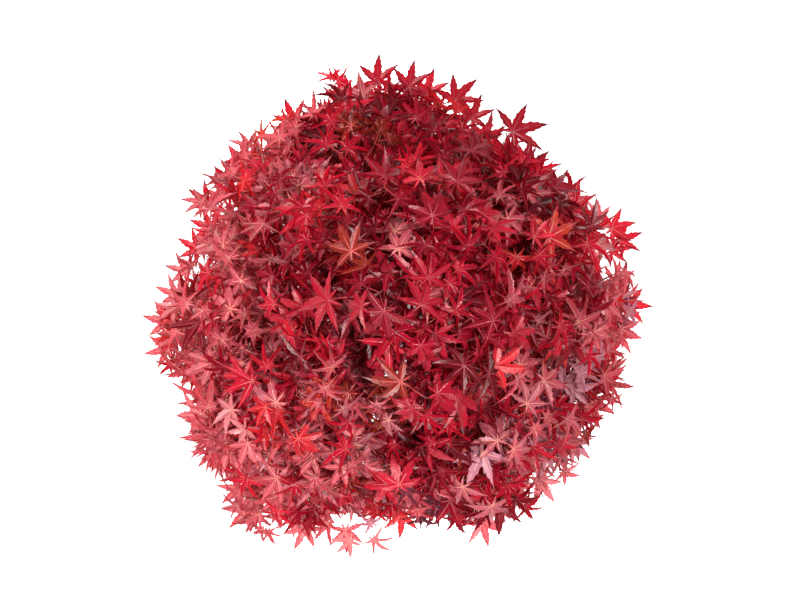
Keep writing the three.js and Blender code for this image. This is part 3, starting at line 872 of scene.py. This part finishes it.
def has_room(mass, points, reach):
    """Whether a leaf's tips keep to the mass. Beside a neighbour it may reach further, over the notch."""
    azimuths = np.degrees(np.arctan2(points[:, 1], points[:, 0]))
    distances = np.hypot(points[:, 0], points[:, 1])
    for azimuth, half, limit in BAYS:
        if (distances[np.abs((azimuths - azimuth + 180) % 360 - 180) < half] > limit).any():
            return False
    past = past_wall(mass, points)
    more, fade = SPRAY.bridge
    reach = reach + more * np.exp(np.minimum(past, 0) / fade)
    return past.max() <= SPRAY.past_wall and (outness(mass, points) <= reach).all()


def hang_leaf(mass, sink, node, way, size, looks, tone, random, reach):
    """A leaf on its stalk, which leaves node along way and rises to the blade, if there is room."""
    stalk = between(SPRAY.stalk, random)
    ahead = levelled(way, HANG.rise)
    outwards = levelled(node + way * stalk - HEART)
    forwards = turned(levelled(ahead + outwards * HANG.outwards), HANG.turn * (random() - 0.5))
    rim = rimward(node)
    lean = looks * lerp(*HANG.lean_out, rim) + ahead * lerp(*HANG.lean_along, rim)
    axes = leaf_axes(forwards, unit(UP + lean + spread(random, lerp(*HANG.tumble, rim))))
    length = between(SPRAY.leaf, random) * size * lerp(*SPRAY.leaf_size, rim ** 2)
    form = int(random() * FORMS * lerp(*HANG.forms, rim))
    leaf = dict(node=node, way=way, axes=axes, form=form, tone=tone, plain=random() < PLAIN_SHARE)
    for stalk_share, leaf_share in SPRAY.tries:
        foot = node + (way * HANG.stalk_out + UP * HANG.stalk_up) * stalk * stalk_share
        if reach is None or has_room(mass, foot + FORM_TIPS @ axes * length * leaf_share, reach):
            sink.append(Named(**leaf, foot=foot, length=length * leaf_share))
            return


def leaf_pair(mass, sink, node, heading, turn, size, looks, tone, random, reach=None):
    """Up to two leaves opposite each other on a shoot, as room allows. Says whether there is one."""
    before = len(sink)
    across = np.cross(heading, UP)
    across = unit(across) if norm(across) > PAIR.upright else np.array((1.0, 0, 0))
    over = np.cross(across, heading)
    for hand in (1, -1):
        angle = turn + PAIR.turn * (random() - 0.5)
        side = (across * math.cos(angle) + over * math.sin(angle)) * hand
        way = unit(side + heading * PAIR.forwards + UP * PAIR.up)
        if way[2] < PAIR.lowest:
            way = unit(way * (1, 1, PAIR.fall_left))
        hang_leaf(mass, sink, node, way, size, looks, tone, random, reach)
    return len(sink) > before


def grow_end(mass, twig, tone, pairs, reach, leaves, random):
    """Pairs of leaves from the end of a twig backwards, each square to the one before."""
    site = twig.site
    for k, back in enumerate(SPRAY.nodes[:pairs]):
        t = 1 - back / twig.span
        if t < SPRAY.first:
            break
        node, ahead = bezier(twig.curve, (t, min(1, t + AHEAD)))
        own = tone if random() < SPRAY.same_tone else pick_tone(site.place, random)
        turn, size = math.pi / 2 * (k % 2), SPRAY.sizes[k]
        if leaf_pair(mass, leaves, node, unit(ahead - node), turn, size, site.looks, own, random, reach):
            twig.last = max(twig.last, t)


def grow_sides(mass, twig, tone, reach, leaves, shoots, random):
    """Side shoots to the left and right of a twig in turn, each with a pair of leaves."""
    looks = twig.site.looks
    count = int(twig.span / SIDE.every)
    for k in range(count):
        t = (k + SIDE.first + SIDE.stray * random()) / (count + SIDE.spare)
        node, ahead = bezier(twig.curve, (t, t + AHEAD))
        heading = unit(ahead - node)
        across = unit(np.cross(heading, UP) + TINY) * (1 if k % 2 else -1)
        way = unit(across + heading * SIDE.forwards + UP * SIDE.up + spread(random, SIDE.wander))
        end = node + way * between(SIDE.length, random)
        if outness(mass, end) > SIDE.reach or past_wall(mass, end) > 0:
            continue
        own = tone if random() < SPRAY.same_tone else pick_tone(end, random)
        if leaf_pair(mass, leaves, end, way, SIDE.turn, SIDE.size, looks, own, random, reach):
            out, on = SIDE.bend
            shoots.append((node, node + way * out + heading * on, end))
            twig.last = max(twig.last, t)


def grow_spray(mass, twig, leaves, shoots, random):
    """The leaves at the end of a twig, and the side shoots along it, each with leaves of its own."""
    site = twig.site
    tone = pick_tone(site.place, random)
    reach = between(SPRAY.reach, random)
    pairs = round(site.pairs * lerp(1, SPRAY.rim_share, rimward(site.place) ** 3))
    if site.leaf:
        leaves.append(site.leaf)
        twig.last = 1
        pairs, reach = site.pairs, None
    grow_end(mass, twig, tone, pairs, reach, leaves, random)
    grow_sides(mass, twig, tone, reach, leaves, shoots, random)


def grow_limb_shoots(mass, limb, leaves, shoots, random):
    """Short leafy shoots on the outer part of a limb, below the mass that it carries."""
    rule = LIMB_SHOOTS
    first, last = rule.shares
    count = int(limb.line.length * (last - first) / rule.every)
    for k in range(count):
        share = first + (last - first) * (k + random()) / count
        middle, heading = limb.line.at(share), limb.line.heading(share)
        way = turned(levelled(middle - HEART), rule.round * k + random())
        way = unit(way + UP * rule.up + spread(random, rule.wander))
        way = unit(way - heading * (way @ heading) + heading * rule.forwards)
        node = middle + way * limb_radius(limb, share) * rule.root
        end = node + way * between(rule.length, random)
        shoots.append((node, lerp(node, end, 0.5) + UP * rule.arch, end))
        leaf_pair(mass, leaves, end, way, rule.turn, rule.size, UP, pick_tone(end, random), random)


def lone_sites(mass):
    """The ends of the twigs that carry the leaves that stand alone."""
    sites = []
    for foot, azimuth, length, tone, pairs in LONE.get(mass.name, ()):
        forwards = polar(azimuth, 1, 0)
        stalk = forwards * LONE_STALK.back + UP * LONE_STALK.below
        axes = leaf_axes(forwards, unit(UP + forwards * LONE_STALK.lean))
        leaf = Named(
            foot=np.array(foot), way=unit(stalk), axes=axes, length=length, form=0, tone=tone, plain=False,
        )
        leaf.node = leaf.foot - stalk
        sites.append(Named(place=leaf.node, axes=axes, looks=forwards, pairs=pairs, leaf=leaf))
    return sites


def make_twigs(name, twigs, shoots, materials):
    """The twigs as far as they carry anything, and the shoots, as one piece."""
    wood = Piece()
    for twig in (twig for twig in twigs if twig.last):
        count = max(TWIG_TUBE.least_rings, round(twig.span / TWIG_TUBE.ring_step))
        t = np.linspace(0, twig.last, count)
        radii = lerp(twig.radius, TWIG.tip, t)
        wood.add(*tube(bezier(twig.curve, t), radii, TWIG_TUBE.sides), 0)
    t = np.linspace(0, 1, SHOOT_TUBE.rings)
    radii = np.linspace(*SHOOT_TUBE.radii, SHOOT_TUBE.rings)
    for shoot in shoots:
        wood.add(*tube(bezier(shoot, t), radii, SHOOT_TUBE.sides), 1)
    return wood.make("twigs_" + name, materials)


def make_leaves(name, leaves, forms, materials):
    """The leaves with their stalks, as one piece."""
    green = Piece()
    t = np.linspace(0, 1, STALK_TUBE.rings)
    radii = np.linspace(STALK_TUBE.foot, 1, STALK_TUBE.rings) * STALK_TUBE.radius
    for leaf in leaves:
        form, tone, node, foot = forms[leaf.form], leaf.tone, leaf.node, leaf.foot
        heart, tip, vein = TONES[tone][2:]
        if leaf.plain:
            heart = tip = tone
        zones = np.array([TONE_NAMES.index(zone) for zone in (heart, tone, tip, vein)])
        green.add(foot + form.points @ leaf.axes * leaf.length, form.faces, zones[form.zones])
        bend = node + leaf.way * norm(foot - node) * STALK_TUBE.bend
        stalk = tube(bezier((node, bend, foot), t), radii, STALK_TUBE.sides, closed=False)
        green.add(*stalk, len(TONE_NAMES))
    return green.make("leaves_" + name, materials)


def make_foliage(mass, limb, forms, seed, materials):
    """Leaves and twigs of a mass, each kind one piece."""
    name, line = mass.name, limb.line
    heading = line.heading(1)
    random = seeded(seed)
    twigs = grow_twigs(mass, line.at(1) - heading * STEM_ROOT, heading, random)
    leaves, shoots = [], []
    for twig in twigs:
        grow_spray(mass, twig, leaves, shoots, random)
    grow_limb_shoots(mass, limb, leaves, shoots, random)
    node = "foliage_" + name
    twig_piece = make_twigs(name, twigs, shoots, materials["twig"])
    leaf_piece = make_leaves(name, leaves, forms, materials["leaf"])
    for piece, slot in ((twig_piece, "young_bark"), (leaf_piece, NODE_SLOTS[node])):
        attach(piece, "root")
        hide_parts(node)


# ---- materials
# Each noise is its scale and detail, and below 1 how it is drawn out along Z.
NOISE_BAND = (0.3, 0.7)  # the part of a noise's values that counts
LEAF_LOOK = Named(
    specular=0.25, gloss=(70, 2), roughness=(0.22, 0.38), grain=(420, 3), relief=0.001,
    strength=0.5, through=0.40,
)
PLAIN_LOOK = Named(gloss=(90, 2), detail=3, strength=0.5)
BARK_LOOK = Named(
    streaks=(260, 5, 0.22), streak_band=(0.36, 0.64), flecks=(520, 1, 0.6), fleck_band=(0.62, 0.72),
    gloss=(180, 3), grain=(700, 6, 0.3), relief=0.0006, strength=0.6,
)


def feed(tree, node, inputs):
    """Sets inputs of a node, each to a plain value or to the output of another node."""
    for name, value in inputs.items():
        if isinstance(value, bpy.types.NodeSocket):
            tree.links.new(value, node.inputs[name])
        else:
            node.inputs[name].default_value = value


def add_node(tree, kind, inputs):
    node = tree.nodes.new("ShaderNode" + kind)
    feed(tree, node, inputs)
    return node


def add_noise(tree, scale, detail, along=1):
    """Noise by place on the object, in real size."""
    place = add_node(tree, "TexCoord", {}).outputs["Object"]
    mapped = add_node(tree, "Mapping", {"Scale": (1, 1, along), "Vector": place}).outputs["Vector"]
    return add_node(tree, "TexNoise", {"Scale": scale, "Detail": detail, "Vector": mapped}).outputs["Fac"]


def add_bump(tree, grain, distance, strength):
    height = add_noise(tree, *grain)
    bump = add_node(tree, "Bump", {"Distance": distance, "Strength": strength, "Height": height})
    return bump.outputs["Normal"]


def add_ramp(tree, spots, band, colours=None):
    """A ramp from dark to light over a band of a noise, or between two colours where they are given."""
    ramp = add_node(tree, "ValToRGB", {"Fac": add_noise(tree, *spots)})
    for k, element in enumerate(ramp.color_ramp.elements):
        element.position = band[k]
        if colours:
            element.color = linear(colours[k])
    return ramp.outputs["Color"]


def new_material(name, gloss, roughness):
    """A material, its nodes and its shader, with a roughness that varies between two values."""
    material = bpy.data.materials.new(name)
    material.use_nodes = True
    tree = material.node_tree
    (low, high), (least, most) = NOISE_BAND, roughness
    ranged = add_node(tree, "MapRange", {
        "Value": add_noise(tree, *gloss),
        "From Min": low, "From Max": high, "To Min": least, "To Max": most,
    })
    shader = tree.nodes["Principled BSDF"]
    feed(tree, shader, {"Roughness": ranged.outputs["Result"]})
    return material, tree, shader


def leaf_material(name, colour, through):
    """A thin leaf: satin in the light, and glowing where the light comes through it."""
    look = LEAF_LOOK
    material, tree, satin = new_material(name, look.gloss, look.roughness)
    normal = add_bump(tree, look.grain, look.relief, look.strength)
    feed(tree, satin, {"Base Color": linear(colour), "Specular IOR Level": look.specular, "Normal": normal})
    glow = add_node(tree, "BsdfTranslucent", {"Color": linear(through), "Normal": normal})
    both = {"Fac": look.through, 1: satin.outputs["BSDF"], 2: glow.outputs["BSDF"]}
    mix = add_node(tree, "MixShader", both)
    feed(tree, tree.nodes["Material Output"], {"Surface": mix.outputs["Shader"]})
    return material


def plain_material(name, colour, roughness, grain_scale, depth):
    """One colour, with a gloss and a fine relief that vary."""
    look = PLAIN_LOOK
    material, tree, shader = new_material(name, look.gloss, roughness)
    normal = add_bump(tree, (grain_scale, look.detail), depth, look.strength)
    feed(tree, shader, {"Base Color": linear(colour), "Normal": normal})
    return material


def bark_material(name, dark, light, fleck, roughness):
    """Bark: two browns in streaks along the limb, pale flecks, and a fine relief."""
    look = BARK_LOOK
    material, tree, shader = new_material(name, look.gloss, roughness)
    mix = add_node(tree, "Mix", {})
    mix.data_type = "RGBA"
    streaks = add_ramp(tree, look.streaks, look.streak_band, (dark, light))
    flecks = add_ramp(tree, look.flecks, look.fleck_band)
    feed(tree, mix, {"Factor": flecks, "A": streaks, "B": linear(fleck)})
    normal = add_bump(tree, look.grain, look.relief, look.strength)
    feed(tree, shader, {"Base Color": mix.outputs["Result"], "Normal": normal})
    return material


# ---- floor, light and camera
CAMERA = Named(place=(0.007, 0.0175, 2.10), lens=40.9, sensor=36.0)
FLOOR = Named(size=14, colour=(0.93, 0.93, 0.93, 1), gloss=(3, 2), roughness=(0.85, 0.95))
CROWN = (0, 0, 0.7)  # what the lights look at
SKY = 0.58  # strength of the even white light from all round
# Round lights: name, place, diameter, power and colour.
LIGHTS = [
    ("key", (-5.2, -2.4, 6.2), 0.6, 1280, (1, 0.985, 0.97)),
    ("overhead", (2.6, 0.6, 7.4), 1.2, 930, (1, 1, 1)),
]


def make_floor():
    bpy.ops.mesh.primitive_plane_add(size=FLOOR.size, location=(0, 0, 0))
    floor = bpy.context.object
    floor.name = "floor"
    material, tree, shader = new_material("floor", FLOOR.gloss, FLOOR.roughness)
    feed(tree, shader, {"Base Color": FLOOR.colour})
    floor.data.materials.append(material)


def add_light(name, place, size, power, colour):
    data = bpy.data.lights.new(name, "AREA")
    data.shape = "DISK"
    data.size = size
    data.energy = power
    data.color = colour
    light = add_object(name, data)
    light.location = place
    light.rotation_mode = "QUATERNION"
    light.rotation_quaternion = (Vector(CROWN) - Vector(place)).to_track_quat("-Z", "Y")
    light.visible_camera = False


def make_light():
    world = bpy.data.worlds.new("studio")
    world.use_nodes = True
    background = world.node_tree.nodes["Background"]
    background.inputs["Color"].default_value = (1, 1, 1, 1)
    background.inputs["Strength"].default_value = SKY
    bpy.context.scene.world = world
    for row in LIGHTS:
        add_light(*row)
    bpy.context.scene.view_settings.view_transform = "Standard"


def make_camera():
    data = bpy.data.cameras.new("camera")
    data.lens = CAMERA.lens
    data.sensor_width = CAMERA.sensor
    camera = add_object("camera", data)
    camera.location = CAMERA.place
    bpy.context.scene.camera = camera


# ---- the tree
def make_limbs(masses, bark):
    """The curve and radius of each limb by the name of its mass, with its bark, and the trunk's curve."""
    limbs = {"trunk": Named(line=Line(trunk_middle(CURVE)))}
    for k, (name, parent, share, radius) in enumerate(LIMBS):
        limbs[name] = Named(line=limb_line(limbs[parent], share, masses[name]), radius=radius)
        node = "leader" if name == "top" else "bough_" + name
        strength = RELIEF.leader if name == "top" else RELIEF.bough
        dress_limb(node, limbs[name], RELIEF.seed_step * k, strength, [bark])
    return limbs


def make_forms():
    """The leaf forms: a flat one first, then ever more arched."""
    random = seeded(FORM_SEED)
    forms = [LeafForm(random, FLAT.arch, FLAT.fold)]
    forms += [LeafForm(random, lerp(*ARCHES, k / FORMS), between(FOLDS, random)) for k in range(1, FORMS)]
    return forms


def make_tree():
    bark = bark_material("bark", "5c4c40", "86735f", "b0a08c", (0.7, 0.95))
    young = bark_material("young_bark", "54302a", "7c5044", "a8867a", (0.5, 0.75))
    twig = plain_material("twig_bark", "5a2a28", (0.45, 0.7), 900, 0.0004)
    shoot = plain_material("shoot_bark", "7a2a2c", (0.4, 0.6), 900, 0.0003)
    stalk = plain_material("stalk", "8c2a2c", (0.35, 0.5), 600, 0.0002)
    leaf = [leaf_material("leaf_" + name, *TONES[name][:2]) for name in TONE_NAMES] + [stalk]
    materials = {"twig": [twig, shoot], "leaf": leaf}

    dress_trunk([bark])
    masses = make_masses()
    limbs = make_limbs({mass.name: mass for mass in masses}, young)
    forms = make_forms()
    for k, mass in enumerate(masses):
        make_foliage(mass, limbs[mass.name], forms, SITES.seed + k, materials)


make_camera()
make_light()
make_floor()
make_tree()
